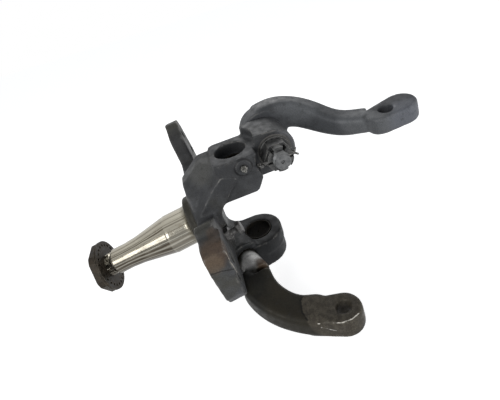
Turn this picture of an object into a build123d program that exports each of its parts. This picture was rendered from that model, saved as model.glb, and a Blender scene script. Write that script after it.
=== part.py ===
from build123d import *
import os
from math import cos, radians, sin

os.makedirs("parts", exist_ok=True)

# Left-hand steering knuckle of a heavy vehicle, with its two bolted arms.
# Frame: the origin is where the kingpin axis and the spindle axis cross, +Z runs up
# the kingpin, +X inboard and -Y to the rear. Lengths are millimetres.

# ---- kingpin yoke ----
spindle_drop = 6.5              # angle of the spindle below square to the kingpin
yoke_half_width = 45.0          # front to rear, from the kingpin axis
upper_arm_top = 98.0
upper_arm_bottom = 27.0
upper_arm_inboard = 37.0        # inboard end of the upper arm's block
upper_arm_outboard = -36.0      # its step down to the flange
lower_arm_top = -78.5
lower_arm_bottom = -133.0
web_inner_face = -48.0          # outboard wall of the gap for the axle beam
gap_corner_radius = 16.0
lower_gap_corner_radius = 28.0
block_corner_radius = 14.0      # outboard corners of the upper arm's block
brace_height = 3.0              # diagonal brace proud of the yoke's rear side
brace_root = 12.0               # how deep the brace is set into that side
brace_edge = 8.0                # brace's inner edge outboard of the gap's wall
arm_lip_length = 14.0           # slope under the upper arm's inboard end
arm_lip_height = 22.0

# ---- kingpin bores and bushings ----
kingpin_radius = 22.8           # bore of the fitted bushings
bushing_wall = 2.6
bushing_clearance = 0.05
upper_recess_depth = 22.0       # counterbore above the upper bushing
recess_step = 1.5               # how far the counterbores are wider than the bore
lower_recess_depth = 6.0
flash_step = 1.5                # the lower boss is this much slimmer under its flash line
flash_line = -105.0

# ---- brake flange ----
flange_inboard = 58.0           # distances along the spindle from the origin
flange_thickness = 30.0
flange_corner_radius = 4.5
arm_hollow_depth = 3.0
rear_pad_height = 5.0           # the rear ear is this much thicker inboard
front_relief_depth = 4.0        # the front ear is this much thinner inboard
brake_bolt_radius = 8.3
brake_bolts = [(131, 3), (131, -35), (-150, 103), (-158, 62)]

# ---- spindle, distances along its axis ----
collar_radius = 48.0
collar_rim = 104.0
collar_chamfer = 2.5
collar_fillet = 8.0
inner_seat_radius = 34.93
inner_seat_end = 148.0
relief_radius = 33.8
relief_end = 152.0
cone_radius = 24.4
cone_end = 204.0
outer_seat_start = 226.0
outer_seat_radius = 22.22
outer_seat_end = 250.5
spindle_thread_reach = 28.5     # outer seat's end to the end of the spindle
spindle_thread_radius = 19.05
thread_neck_length = 4.0
thread_neck_radius = 17.4
thread_chamfer = 2.0
keyway_width = 6.4
keyway_depth = 3.2

# ---- lock ring and nut on the spindle ----
lock_ring_setback = 12.5        # outer seat's end to the lock ring
lock_ring_thickness = 4.0
lock_ring_radius = 44.0
lock_hole_circle = 36.2
lock_hole_radius = 2.3
lock_hole_count = 24
lock_ring_centre_radius = 25.5
spindle_nut_thickness = 11.0
spindle_nut_flats = 80.0
spindle_nut_corner_radius = 43.0
thread_clearance = 0.15
seat_clearance = 0.2            # left between pieces that bear on each other

# ---- boss and tapered seat of the steering arm ----
steering_x = 70.5
steering_z = 76.5
steering_boss_radius = 37.5
steering_boss_front = 48.0
steering_boss_rear = -20.0
steering_block_outboard = 30.0   # outboard side of the block beside the kingpin
spot_face_radius = 30.0
spot_face_depth = 1.0
nut_clearance_radius = 39.0     # cut into the yoke's rear side around the nut
pocket_radius = 44.0            # clearance about the kingpin above the upper arm
taper_clearance = 0.1
taper_big_radius = 19.0
taper_small_radius = 14.7
stud_radius = 14.3
stud_end_chamfer = 2.0
arm_shoulder_gap = 2.0          # between an arm's shoulder and its boss
shank_mouth = 10.0              # clearance for the wide end of a shank outside its boss
washer_thickness = 4.0
washer_radius = 27.0
castle_nut_flats = 46.0
castle_nut_height = 31.0
castle_slot_depth = 10.0
castle_slot_width = 6.0
castle_crown_radius = 22.0
steering_stud_reach = 45.0      # stud past the rear face of the boss
cotter_radius = 2.3
cotter_hole_radius = 2.7
key_width = 8.0
key_height = 7.0
key_length = 22.0
key_clearance = 0.1

# ---- boss and tapered seat of the tie-rod arm ----
tie_seat_x = -52.0              # where its axis crosses the plane of the kingpin
tie_seat_z = -93.0
tie_splay = 17.2                # angle of that axis from straight fore and aft
tie_boss_radius = 31.0
tie_boss_half_length = 50.0
tie_stud_reach = 38.0

# ---- stop bolt ----
stop_y = -50.0
stop_z = -27.0
stop_tilt = 15.0
stop_face = -54.5               # spot face that the jam nut bears on
stop_boss_radius = 15.5
stop_bolt_radius = 6.35
stop_bolt_length = 45.0
stop_bolt_shown = 22.0          # face of the boss to the underside of the head
stop_head_flats = 19.0
stop_head_height = 8.0
jam_nut_flats = 22.0
jam_nut_height = 8.0

# ---- grease fittings ----
grease_boss_radius = 13.5
grease_boss_height = 3.0
upper_grease_x = 10.0
upper_grease_z = 82.5
lower_grease_z = -104.0
grease_thread_radius = 3.9
grease_thread_length = 8.0
grease_hex_flats = 10.0
grease_hex_height = 4.0
grease_neck_radius = 2.5
grease_head_radius = 3.2
grease_nipple_length = 9.0
grease_passage_radius = 1.5
check_ball_radius = 1.1

# ---- arms ----
steering_eye_centre = (277.0, -24.0, 80.0)
steering_eye_hole_radius = 13.0
steering_eye_half_width = 29.5
steering_eye_thickness = 34.0
tie_eye_centre = (76.0, -186.0, -125.0)
tie_eye_hole_radius = 12.0
tie_eye_radius = 29.0
tie_eye_thickness = 33.0
arm_edge_radius = 4.0

arm_corner_radius = 10.0
steering_head_centre = (75.0, 80.0)
steering_head_radius = 43.0
steering_head_depth = 46.0
steering_eye_reach = 27.5       # hole centre to the centre of the rounded end
steering_eye_neck = 14.0        # hole centre back to the centre of the neck's round
steering_eye_neck_radius = 25.0
tie_pad_end = (-44.0, 19.0)     # far end of the pad around the tie-rod eye, from its hole
tie_pad_radius = 24.0
tie_bare_shank = 40.0           # shank showing between the boss and the arm's forging

# ---- split pins ----
cotter_head_place = 29.0        # from the stud's axis to the pin's head
cotter_bend_place = 25.5        # from the stud's axis to where its legs part
cotter_leg_length = 8.0
cotter_head_length = 14.0
cotter_head_width = 11.0
cotter_eye_length = 6.0
cotter_eye_width = 3.6

# ---- sizes that follow from others ----
lower_boss_radius = yoke_half_width
spindle_end = outer_seat_end + spindle_thread_reach
lock_ring_start = outer_seat_end + lock_ring_setback

# ---- directions and planes ----
outboard = Vector(-cos(radians(spindle_drop)), 0, -sin(radians(spindle_drop)))
rearward = Vector(0, -1, 0)


def spindle_plane(distance):
    """Plane square to the spindle: local x to the rear, local y up, z outboard."""
    return Plane(origin=outboard * distance, x_dir=rearward, z_dir=outboard)


def axial_plane(seat):
    """Plane through a seat's axis: local x is the radius, local y the axis."""
    return Plane(origin=seat.origin, x_dir=seat.x_dir, z_dir=-seat.y_dir)


def seat_axis(seat):
    return Axis(seat.origin, seat.z_dir)


def half_section(seat, points):
    """Closed half section of a turned shape, as points (radius, distance)."""
    with BuildSketch(axial_plane(seat)) as section:
        with BuildLine():
            Polyline(*points, close=True)
        make_face()
    return section.sketch


def level_section(point, heading):
    """Plane square to an arm's heading, with its local x level."""
    heading = Vector(*heading)
    return Plane(origin=point, x_dir=heading.cross(Vector(0, 0, 1)), z_dir=heading)


steering_seat = Plane(
    origin=(steering_x, steering_boss_front, steering_z), x_dir=(1, 0, 0), z_dir=rearward
)
tie_direction = Vector(-sin(radians(tie_splay)), cos(radians(tie_splay)), 0)
tie_across = tie_direction.cross(Vector(0, 0, 1))
tie_centre = Plane(origin=(tie_seat_x, 0, tie_seat_z), x_dir=tie_across, z_dir=tie_direction)
tie_seat = tie_centre.offset(-tie_boss_half_length)
stop_direction = Vector(cos(radians(stop_tilt)), 0, sin(radians(stop_tilt)))
stop_seat = Plane(origin=(stop_face, stop_y, stop_z), x_dir=rearward, z_dir=stop_direction)
upper_grease_seat = Plane(
    origin=(upper_grease_x, -yoke_half_width - grease_boss_height, upper_grease_z),
    x_dir=(1, 0, 0),
    z_dir=rearward,
)
lower_grease_seat = Plane(
    origin=(0, lower_boss_radius + grease_boss_height, lower_grease_z),
    x_dir=(1, 0, 0),
    z_dir=(0, 1, 0),
)

steering_seat_length = steering_boss_front - steering_boss_rear
tie_seat_length = 2 * tie_boss_half_length
steering_washer_seat = steering_seat.offset(steering_seat_length - spot_face_depth + seat_clearance)
steering_nut_seat = steering_washer_seat.offset(washer_thickness + seat_clearance)
tie_nut_seat = tie_seat.offset(tie_seat_length + seat_clearance)
slot_middle = castle_nut_height - castle_slot_depth / 2
steering_cotter_place = (
    steering_seat_length - spot_face_depth + 2 * seat_clearance + washer_thickness + slot_middle
)
tie_cotter_place = tie_seat_length + seat_clearance + slot_middle
bushing_radius = kingpin_radius + bushing_wall
recess_radius = bushing_radius + recess_step
upper_bushing_top = upper_arm_top - upper_recess_depth
lower_bushing_bottom = lower_arm_bottom + lower_recess_depth


def taper_radius(distance, length):
    """Radius of an arm's shank at a distance from the wide end of its seat."""
    return taper_big_radius + (taper_small_radius - taper_big_radius) * distance / length


def key_box(seat, length, clearance):
    """Box of the key that stops an arm's shank turning, half in each piece."""
    middle = length / 2
    size = (key_width + 2 * clearance, key_height + 2 * clearance, key_length + 2 * clearance)
    place = seat.offset(middle).location * Pos(0, taper_radius(middle, length), 0)
    return place * Box(*size, mode=Mode.PRIVATE)


# ---- knuckle forging ----
tie_eye = Plane(origin=tie_eye_centre, x_dir=(1, 0, 0), z_dir=(0, 0.1, 1))
flange_outline = [
    (24, 63), (42, 34), (58, 31), (72, 38), (93, 52), (106, 51), (112, 42), (134, 42),
    (147, 33), (154, 8), (156, -42), (145, -62), (112, -66), (60, -60), (44, -66), (42, -100),
    (-30, -100), (-48, -60), (-90, -42), (-150, 0), (-183, 50), (-188, 112), (-178, 128),
    (-160, 130), (-118, 110), (-100, 66), (-77, 61), (-51, 63), (-16, 73), (8, 68),
]
yoke_profile = [
    (upper_arm_inboard, upper_arm_top), (upper_arm_outboard, upper_arm_top),
    (upper_arm_outboard, 60), (-74, 30), (-62, -100), (-58, lower_arm_bottom),
    (0, lower_arm_bottom), (0, lower_arm_top), (web_inner_face, lower_arm_top),
    (web_inner_face, upper_arm_bottom), (upper_arm_inboard - arm_lip_length, upper_arm_bottom),
    (upper_arm_inboard, upper_arm_bottom + arm_lip_height),
]
yoke_corner_radii = [3, 0, 0, 4, 4, 4, 4, 4, lower_gap_corner_radius, gap_corner_radius, 12, 12]
shoulder_profile = [
    (upper_arm_outboard + 4, 91), (-58, 90), (-97, 58), (-92, 10), (-62, -40),
    (web_inner_face - 2, -20), (web_inner_face - 2, 40), (upper_arm_outboard + 4, 40),
]
shoulder_slope = [(-88, -45, 24), (-28, -45, 78), (-57, -8, 78)]
rear_pad_outline = [(101, 41), (134, 42), (147, 33), (154, 8), (154, -10), (104, -14)]
front_relief_outline = [(-92, 140), (-92, 60), (-112, -50), (-210, -50), (-210, 140)]
arm_hollow = [(-4, 66), (60, 66), (60, 22), (-50, 22)]
brace_profile = [
    (-4, 69), (-30, 80), (-52, 62), (-84, 26), (-80, -30),
    (web_inner_face - brace_edge, -30), (web_inner_face + 1, 20),
]
stop_passage = stop_bolt_length - stop_bolt_shown + 2
spindle_profile = [
    (0, flange_inboard - 6), (collar_radius, flange_inboard - 6),
    (collar_radius, collar_rim - collar_chamfer), (collar_radius - collar_chamfer, collar_rim),
    (inner_seat_radius + collar_fillet, collar_rim),
    (inner_seat_radius, collar_rim + collar_fillet), (inner_seat_radius, inner_seat_end),
    (relief_radius, relief_end), (cone_radius, cone_end),
    (outer_seat_radius, outer_seat_start), (outer_seat_radius, outer_seat_end - 1.5),
    (thread_neck_radius, outer_seat_end),
    (thread_neck_radius, outer_seat_end + thread_neck_length),
    (spindle_thread_radius, outer_seat_end + thread_neck_length + 1.6),
    (spindle_thread_radius, spindle_end - thread_chamfer),
    (spindle_thread_radius - thread_chamfer, spindle_end), (0, spindle_end),
]


def passage_bore(start, finish):
    """Drilled grease passage between two points."""
    start, finish = Vector(*start), Vector(*finish)
    drill = Plane(origin=start, z_dir=finish - start)
    length = (finish - start).length
    rod = Cylinder(grease_passage_radius, length, align=drill_align, mode=Mode.PRIVATE)
    return drill.location * rod


drill_align = (Align.CENTER, Align.CENTER, Align.MIN)
upper_passage = passage_bore(
    (upper_grease_x, -yoke_half_width + grease_thread_length - 4, upper_grease_z),
    (upper_grease_x / 2, -kingpin_radius + 2, upper_bushing_top - 8),
)
lower_passage = passage_bore(
    (0, lower_boss_radius - grease_thread_length + 4, lower_grease_z),
    (0, kingpin_radius - 2, lower_grease_z),
)
keyway_start = outer_seat_end + thread_neck_length + 2
keyway_centre = (0, spindle_thread_radius, (keyway_start + spindle_end) / 2)
keyway_size = (keyway_width, 2 * keyway_depth, spindle_end - keyway_start + 0.1)
spindle_keyway = spindle_plane(0).location * Pos(*keyway_centre) * Box(*keyway_size, mode=Mode.PRIVATE)

# shoulder that carries the upper arm's block out to the flange
with BuildPart() as shoulder:
    with BuildSketch(Plane.XZ):
        with BuildLine():
            FilletPolyline(*shoulder_profile, radius=3, close=True)
        make_face()
    extrude(amount=yoke_half_width, both=True)
    low, high, far = (Vector(*point) for point in shoulder_slope)
    slope = Plane(origin=low, x_dir=high - low, z_dir=(high - low).cross(far - low))
    split(bisect_by=slope, keep=Keep.BOTTOM)

with BuildPart() as knuckle:
    # kingpin yoke: two arms joined by the web
    with BuildSketch(Plane.XZ):
        with BuildLine():
            FilletPolyline(*yoke_profile, radius=yoke_corner_radii, close=True)
        make_face()
    extrude(amount=yoke_half_width, both=True)
    block_side = knuckle.faces().filter_by(Axis.X).group_by(Axis.Z)[-1].sort_by(Axis.X)[0]
    fillet(block_side.edges().filter_by(Axis.Z), block_corner_radius)
    add(shoulder.part)
    # diagonal brace from the rear of the flange up to the block
    with BuildSketch(Plane.XZ.offset(yoke_half_width - brace_root)):
        with BuildLine():
            FilletPolyline(*brace_profile, radius=4, close=True)
        make_face()
    extrude(amount=brace_root + brace_height)
    # brake flange, with a thicker rear ear and a thinner front one
    with BuildSketch(spindle_plane(flange_inboard)):
        with BuildLine():
            FilletPolyline(*flange_outline, radius=flange_corner_radius, close=True)
        make_face()
    extrude(amount=flange_thickness)
    with BuildSketch(spindle_plane(flange_inboard - rear_pad_height)):
        with BuildLine():
            FilletPolyline(*rear_pad_outline, radius=flange_corner_radius, close=True)
        make_face()
    extrude(amount=rear_pad_height + 1)
    with BuildSketch(spindle_plane(flange_inboard - 1)):
        with BuildLine():
            Polyline(*front_relief_outline, close=True)
        make_face()
    extrude(amount=front_relief_depth + 1, mode=Mode.SUBTRACT)
    # lower kingpin boss, slimmer under its flash line
    with BuildSketch(Plane.XY.offset(lower_arm_top)):
        Circle(lower_boss_radius)
    extrude(amount=flash_line - lower_arm_top)
    with BuildSketch(Plane.XY.offset(flash_line)):
        Circle(lower_boss_radius - flash_step)
    extrude(amount=lower_arm_bottom - flash_line)
    # block and boss that carry the steering arm
    with BuildSketch(Plane.XZ.offset(-steering_boss_front)):
        with BuildLine():
            FilletPolyline(
                (steering_x, steering_z - steering_boss_radius),
                (steering_block_outboard, steering_z - steering_boss_radius),
                (steering_block_outboard, steering_z + steering_boss_radius),
                (steering_x, steering_z + steering_boss_radius), radius=4, close=True,
            )
        make_face()
        with Locations((steering_x, steering_z)):
            Circle(steering_boss_radius)
    extrude(amount=steering_seat_length)
    # boss for the tie-rod arm
    with BuildSketch(tie_seat):
        Circle(tie_boss_radius)
    extrude(amount=tie_seat_length)
    # bosses for the stop bolt and the grease fittings
    with BuildSketch(stop_seat):
        Circle(stop_boss_radius)
    extrude(amount=-14)
    for seat in (upper_grease_seat, lower_grease_seat):
        with BuildSketch(seat):
            Circle(grease_boss_radius)
        extrude(amount=-10)
    # spindle
    revolve(half_section(spindle_plane(0), spindle_profile), axis=seat_axis(spindle_plane(0)))

    # clearance pocket above the upper arm
    with BuildSketch(Plane.XY.offset(upper_arm_top)):
        Circle(pocket_radius)
    extrude(amount=60, mode=Mode.SUBTRACT)
    # hollowed rear side of the upper arm, under its block
    with BuildSketch(Plane.XZ.offset(yoke_half_width)):
        with BuildLine():
            FilletPolyline(*arm_hollow, radius=4, close=True)
        make_face()
    extrude(amount=-arm_hollow_depth, mode=Mode.SUBTRACT)
    # spot faces of the stop bolt and the steering arm's nut
    with BuildSketch(stop_seat):
        Circle(stop_boss_radius + 1)
    extrude(amount=18, mode=Mode.SUBTRACT)
    with BuildSketch(steering_seat.offset(steering_seat_length)):
        Circle(nut_clearance_radius)
    extrude(amount=60, mode=Mode.SUBTRACT)
    with BuildSketch(steering_seat.offset(steering_seat_length)):
        Circle(spot_face_radius)
    extrude(amount=-spot_face_depth, mode=Mode.SUBTRACT)
    # room for the tie-rod arm's nut ahead of its boss
    with BuildSketch(tie_seat.offset(tie_seat_length)):
        Circle(tie_boss_radius)
    extrude(amount=60, mode=Mode.SUBTRACT)
    # kingpin bores with a counterbore at each outer end
    with BuildSketch(Plane.XY.offset(lower_arm_bottom - 1)):
        Circle(bushing_radius + bushing_clearance)
    extrude(amount=upper_arm_top - lower_arm_bottom + 2, mode=Mode.SUBTRACT)
    with BuildSketch(Plane.XY.offset(upper_bushing_top)):
        Circle(recess_radius)
    extrude(amount=upper_recess_depth + 1, mode=Mode.SUBTRACT)
    with BuildSketch(Plane.XY.offset(lower_bushing_bottom)):
        Circle(recess_radius)
    extrude(amount=-lower_recess_depth - 1, mode=Mode.SUBTRACT)
    # tapered seats of both arms, and their keyways
    for seat, length in ((steering_seat, steering_seat_length), (tie_seat, tie_seat_length)):
        cone = [
            (0, -shank_mouth), (taper_big_radius + taper_clearance, -shank_mouth),
            (taper_big_radius + taper_clearance, 0),
            (taper_radius(length + 1, length) + taper_clearance, length + 1), (0, length + 1),
        ]
        revolve(half_section(seat, cone), axis=seat_axis(seat), mode=Mode.SUBTRACT)
        add(key_box(seat, length, key_clearance), mode=Mode.SUBTRACT)
    # stop bolt hole
    with BuildSketch(stop_seat):
        Circle(stop_bolt_radius + thread_clearance)
    extrude(amount=-stop_passage, mode=Mode.SUBTRACT)
    # grease fitting holes, and the passages from them to the bushings
    for seat, passage in ((upper_grease_seat, upper_passage), (lower_grease_seat, lower_passage)):
        with BuildSketch(seat):
            Circle(grease_thread_radius + thread_clearance)
        extrude(amount=-grease_thread_length - 1, mode=Mode.SUBTRACT)
        add(passage, mode=Mode.SUBTRACT)
    # brake bolt holes
    with BuildSketch(spindle_plane(flange_inboard - rear_pad_height - 1)):
        with Locations(*brake_bolts):
            Circle(brake_bolt_radius)
    extrude(amount=flange_thickness + rear_pad_height + 2, mode=Mode.SUBTRACT)
    # keyway of the lock ring, along the top of the spindle thread
    add(spindle_keyway, mode=Mode.SUBTRACT)
knuckle.part.label = "knuckle"
export_step(knuckle.part, "parts/knuckle.step")

# ---- bushings pressed into the yoke ----
def bushing(bottom, top, passage):
    with BuildPart() as sleeve:
        with BuildSketch(Plane.XY.offset(bottom)):
            Circle(bushing_radius)
            Circle(kingpin_radius, mode=Mode.SUBTRACT)
        extrude(amount=top - bottom)
        chamfer(sleeve.edges().filter_by(GeomType.CIRCLE), 0.6)
        add(passage, mode=Mode.SUBTRACT)
    return sleeve


kingpin_bushing_upper = bushing(upper_arm_bottom, upper_bushing_top, upper_passage)
kingpin_bushing_upper.part.label = "kingpin_bushing_upper"
export_step(kingpin_bushing_upper.part, "parts/kingpin_bushing_upper.step")

kingpin_bushing_lower = bushing(lower_bushing_bottom, lower_arm_top, lower_passage)
kingpin_bushing_lower.part.label = "kingpin_bushing_lower"
export_step(kingpin_bushing_lower.part, "parts/kingpin_bushing_lower.step")


# ---- steering arm: tapered shank, gooseneck and eye ----
def shank_profile(length, reach, shoulder):
    """Half section of an arm's tapered shank and threaded stud, from its shoulder on."""
    return [
        (0, -shoulder - 8), (taper_big_radius, -shoulder - 8), (taper_big_radius, 0),
        (taper_small_radius, length - 1), (stud_radius, length),
        (stud_radius, length + reach - stud_end_chamfer),
        (stud_radius - stud_end_chamfer, length + reach), (0, length + reach),
    ]


def stud_cuts(seat, length, cotter_place):
    """Keyway and cotter hole of an arm's shank."""
    hole = seat.offset(cotter_place).location * Rot(0, 90, 0)
    bore = hole * Cylinder(cotter_hole_radius, 4 * stud_radius, mode=Mode.PRIVATE)
    return [key_box(seat, length, key_clearance), bore]


# centre, heading, width and height of each section along the steering arm
steering_arm_sections = [
    ((70, 76, 98), (1, 0, 0.1), 50, 52),
    ((96, 76, 101), (1, 0, 0.05), 50, 54),
    ((124, 74, 98), (1, -0.08, -0.15), 50, 53),
    ((156, 65, 86), (1, -0.4, -0.5), 48, 48),
    ((188, 45, 67), (1, -0.7, -0.5), 46, 42),
    ((218, 22, 57), (1, -0.75, -0.05), 46, 38),
    ((250, -3, 59), (1, -0.7, 0.05), 46, 36),
]
steering_eye = Plane(origin=steering_eye_centre, x_dir=(1, 0, 0.12), z_dir=(-0.12, -0.07, 1))
with BuildPart() as steering_pad:
    with BuildSketch(steering_eye):
        with Locations((steering_eye_reach, 0)):
            Circle(steering_eye_half_width)
        with Locations((-steering_eye_neck, 0)):
            Circle(steering_eye_neck_radius)
        make_hull()
    extrude(amount=-steering_eye_thickness)
    fillet(steering_pad.faces().filter_by(steering_eye).edges(), arm_edge_radius)

with BuildPart() as steering_arm:
    for centre, heading, width, height in steering_arm_sections:
        with BuildSketch(level_section(centre, heading)):
            RectangleRounded(width, height, arm_corner_radius)
    loft()
    with BuildSketch(Plane.XZ.offset(-steering_boss_front - arm_shoulder_gap)):
        with Locations(steering_head_centre):
            Circle(steering_head_radius)
    extrude(amount=-steering_head_depth)
    fillet(steering_arm.faces().sort_by(Axis.Y)[-1].edges().filter_by(GeomType.CIRCLE), arm_corner_radius)
    add(steering_pad.part)
    shank = shank_profile(steering_seat_length, steering_stud_reach, arm_shoulder_gap)
    revolve(half_section(steering_seat, shank), axis=seat_axis(steering_seat))
    with BuildSketch(steering_eye.offset(-steering_eye_thickness - 1)):
        Circle(steering_eye_hole_radius)
    extrude(amount=steering_eye_thickness + 2, mode=Mode.SUBTRACT)
    add(stud_cuts(steering_seat, steering_seat_length, steering_cotter_place), mode=Mode.SUBTRACT)
steering_arm.part.label = "steering_arm"
export_step(steering_arm.part, "parts/steering_arm.step")

# ---- tie-rod arm: tapered shank, curved beam and eye ----
tie_arm_sections = [
    ((-33, -97, -100), (0.2, -1, -0.25), 54, 48),
    ((-31, -117, -109), (0.3, -1, -0.5), 54, 46),
    ((-20, -136, -118), (0.6, -1, -0.45), 51, 42),
    ((-3, -153, -126), (1, -0.9, -0.5), 49, 39),
    ((21, -166, -134), (1, -0.4, -0.35), 52, 37),
    ((49, -174, -141), (1, -0.35, 0), 54, 32),
]
with BuildPart() as tie_pad:
    with BuildSketch(tie_eye):
        Circle(tie_eye_radius)
        with Locations(tie_pad_end):
            Circle(tie_pad_radius)
        make_hull()
    extrude(amount=-tie_eye_thickness)
    fillet(tie_pad.faces().filter_by(tie_eye).edges(), arm_edge_radius)

with BuildPart() as tie_rod_arm:
    for centre, heading, width, height in tie_arm_sections:
        with BuildSketch(level_section(centre, heading)):
            RectangleRounded(width, height, arm_corner_radius)
    loft()
    add(tie_pad.part)
    shank = shank_profile(tie_seat_length, tie_stud_reach, tie_bare_shank)
    revolve(half_section(tie_seat, shank), axis=seat_axis(tie_seat))
    with BuildSketch(tie_eye.offset(-tie_eye_thickness - 1)):
        Circle(tie_eye_hole_radius)
    extrude(amount=tie_eye_thickness + 2, mode=Mode.SUBTRACT)
    add(stud_cuts(tie_seat, tie_seat_length, tie_cotter_place), mode=Mode.SUBTRACT)
tie_rod_arm.part.label = "tie_rod_arm"
export_step(tie_rod_arm.part, "parts/tie_rod_arm.step")


# ---- nuts, washer, keys and cotter pins of the arms ----
def castle_nut(seat):
    """Castle nut standing on a seat plane, its slots away from the seat."""
    crown_start = castle_nut_height - castle_slot_depth
    with BuildPart() as nut:
        with BuildSketch(seat):
            RegularPolygon(castle_nut_flats / 2, 6, major_radius=False)
        extrude(amount=crown_start)
        chamfer(nut.faces().sort_by(Axis(seat.origin, seat.z_dir))[0].edges(), 1.0)
        with BuildSketch(seat.offset(crown_start)):
            Circle(castle_crown_radius)
        extrude(amount=castle_slot_depth)
        with BuildSketch(seat.offset(crown_start)):
            for turn in (0, 60, 120):
                Rectangle(3 * castle_crown_radius, castle_slot_width, rotation=turn)
        extrude(amount=castle_slot_depth + 1, mode=Mode.SUBTRACT)
        with BuildSketch(seat):
            Circle(stud_radius + thread_clearance)
        extrude(amount=castle_nut_height, mode=Mode.SUBTRACT)
    return nut


def cotter_pin(stud):
    """Split pin through a stud; stud is the plane square to it at the pin's height."""
    head_centre = stud.origin - stud.x_dir * cotter_head_place
    head = Plane(origin=head_centre, x_dir=stud.z_dir, z_dir=stud.y_dir)
    legs = stud.origin + stud.x_dir * cotter_bend_place
    outer_leg = legs + stud.x_dir * 3 + stud.z_dir * cotter_leg_length
    inner_leg = legs + stud.x_dir * 3 + stud.y_dir * cotter_leg_length - stud.z_dir
    body = Plane(origin=head_centre, x_dir=stud.y_dir, z_dir=stud.x_dir)
    with BuildPart() as pin:
        with BuildSketch(body):
            Circle(cotter_radius)
        extrude(amount=cotter_head_place + cotter_bend_place)
        with BuildSketch(head):
            with Locations((0, -cotter_radius - 2)):
                SlotOverall(cotter_head_length, cotter_head_width)
                SlotOverall(cotter_eye_length, cotter_eye_width, mode=Mode.SUBTRACT)
        extrude(amount=cotter_radius * 0.8, both=True)
        for tip in (outer_leg, inner_leg):
            start = legs - stud.x_dir * 1
            with BuildSketch(Plane(origin=start, z_dir=tip - start)):
                Circle(cotter_radius * 0.75)
            extrude(amount=(tip - start).length)
    return pin


def arm_key(seat, length):
    with BuildPart() as key:
        add(key_box(seat, length, 0))
    return key


with BuildPart() as steering_arm_washer:
    with BuildSketch(steering_washer_seat):
        Circle(washer_radius)
        Circle(stud_radius + 0.6, mode=Mode.SUBTRACT)
    extrude(amount=washer_thickness)
    chamfer(steering_arm_washer.faces().sort_by(Axis.Y)[0].edges().sort_by(SortBy.RADIUS)[-1:], 0.8)
steering_arm_washer.part.label = "steering_arm_washer"
export_step(steering_arm_washer.part, "parts/steering_arm_washer.step")

steering_arm_nut = castle_nut(steering_nut_seat)
steering_arm_nut.part.label = "steering_arm_nut"
export_step(steering_arm_nut.part, "parts/steering_arm_nut.step")

tie_rod_arm_nut = castle_nut(tie_nut_seat)
tie_rod_arm_nut.part.label = "tie_rod_arm_nut"
export_step(tie_rod_arm_nut.part, "parts/tie_rod_arm_nut.step")

steering_arm_cotter_pin = cotter_pin(steering_seat.offset(steering_cotter_place))
steering_arm_cotter_pin.part.label = "steering_arm_cotter_pin"
export_step(steering_arm_cotter_pin.part, "parts/steering_arm_cotter_pin.step")

tie_rod_arm_cotter_pin = cotter_pin(tie_seat.offset(tie_cotter_place))
tie_rod_arm_cotter_pin.part.label = "tie_rod_arm_cotter_pin"
export_step(tie_rod_arm_cotter_pin.part, "parts/tie_rod_arm_cotter_pin.step")

steering_arm_key = arm_key(steering_seat, steering_seat_length)
steering_arm_key.part.label = "steering_arm_key"
export_step(steering_arm_key.part, "parts/steering_arm_key.step")

tie_rod_arm_key = arm_key(tie_seat, tie_seat_length)
tie_rod_arm_key.part.label = "tie_rod_arm_key"
export_step(tie_rod_arm_key.part, "parts/tie_rod_arm_key.step")

# ---- stop bolt and its jam nut ----
with BuildPart() as stop_bolt:
    with BuildSketch(stop_seat.offset(stop_bolt_shown - stop_bolt_length)):
        Circle(stop_bolt_radius)
    extrude(amount=stop_bolt_length)
    with BuildSketch(stop_seat.offset(stop_bolt_shown)):
        RegularPolygon(stop_head_flats / 2, 6, major_radius=False)
    extrude(amount=stop_head_height)
    chamfer(stop_bolt.faces().sort_by(Axis(stop_seat.origin, stop_seat.z_dir))[-1].edges(), 0.8)
stop_bolt.part.label = "stop_bolt"
export_step(stop_bolt.part, "parts/stop_bolt.step")

with BuildPart() as stop_bolt_jam_nut:
    with BuildSketch(stop_seat.offset(seat_clearance)):
        RegularPolygon(jam_nut_flats / 2, 6, major_radius=False)
        Circle(stop_bolt_radius + thread_clearance, mode=Mode.SUBTRACT)
    extrude(amount=jam_nut_height)
stop_bolt_jam_nut.part.label = "stop_bolt_jam_nut"
export_step(stop_bolt_jam_nut.part, "parts/stop_bolt_jam_nut.step")


# ---- grease fittings ----
def grease_fitting(seat):
    """Grease nipple: threaded shank, hexagon, neck and grooved head."""
    head_top = grease_hex_height + grease_nipple_length
    nipple = [
        (0, 0), (grease_neck_radius + 0.6, 0), (grease_neck_radius + 0.6, grease_hex_height),
        (grease_neck_radius, grease_hex_height + 3), (grease_neck_radius, head_top - 4),
        (grease_head_radius, head_top - 3), (grease_head_radius, head_top - 1.6),
        (grease_neck_radius - 0.4, head_top), (0, head_top),
    ]
    with BuildPart() as fitting:
        with BuildSketch(seat):
            RegularPolygon(grease_hex_flats / 2, 6, major_radius=False)
        extrude(amount=grease_hex_height)
        with BuildSketch(seat):
            Circle(grease_thread_radius)
        extrude(amount=-grease_thread_length)
        revolve(half_section(seat, nipple), axis=seat_axis(seat))
        with BuildSketch(seat.offset(-grease_thread_length)):
            Circle(check_ball_radius + 0.1)
        extrude(amount=grease_thread_length + head_top - check_ball_radius, mode=Mode.SUBTRACT)
        with BuildSketch(seat.offset(head_top)):
            Circle(check_ball_radius * 0.7)
        extrude(amount=-check_ball_radius - 0.5, mode=Mode.SUBTRACT)
    return fitting


def check_ball(seat):
    head_top = grease_hex_height + grease_nipple_length
    with BuildPart() as ball:
        with Locations(seat.offset(head_top - 2 * check_ball_radius)):
            Sphere(check_ball_radius)
    return ball


grease_fitting_upper = grease_fitting(upper_grease_seat.offset(seat_clearance))
grease_fitting_upper.part.label = "grease_fitting_upper"
export_step(grease_fitting_upper.part, "parts/grease_fitting_upper.step")

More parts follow.
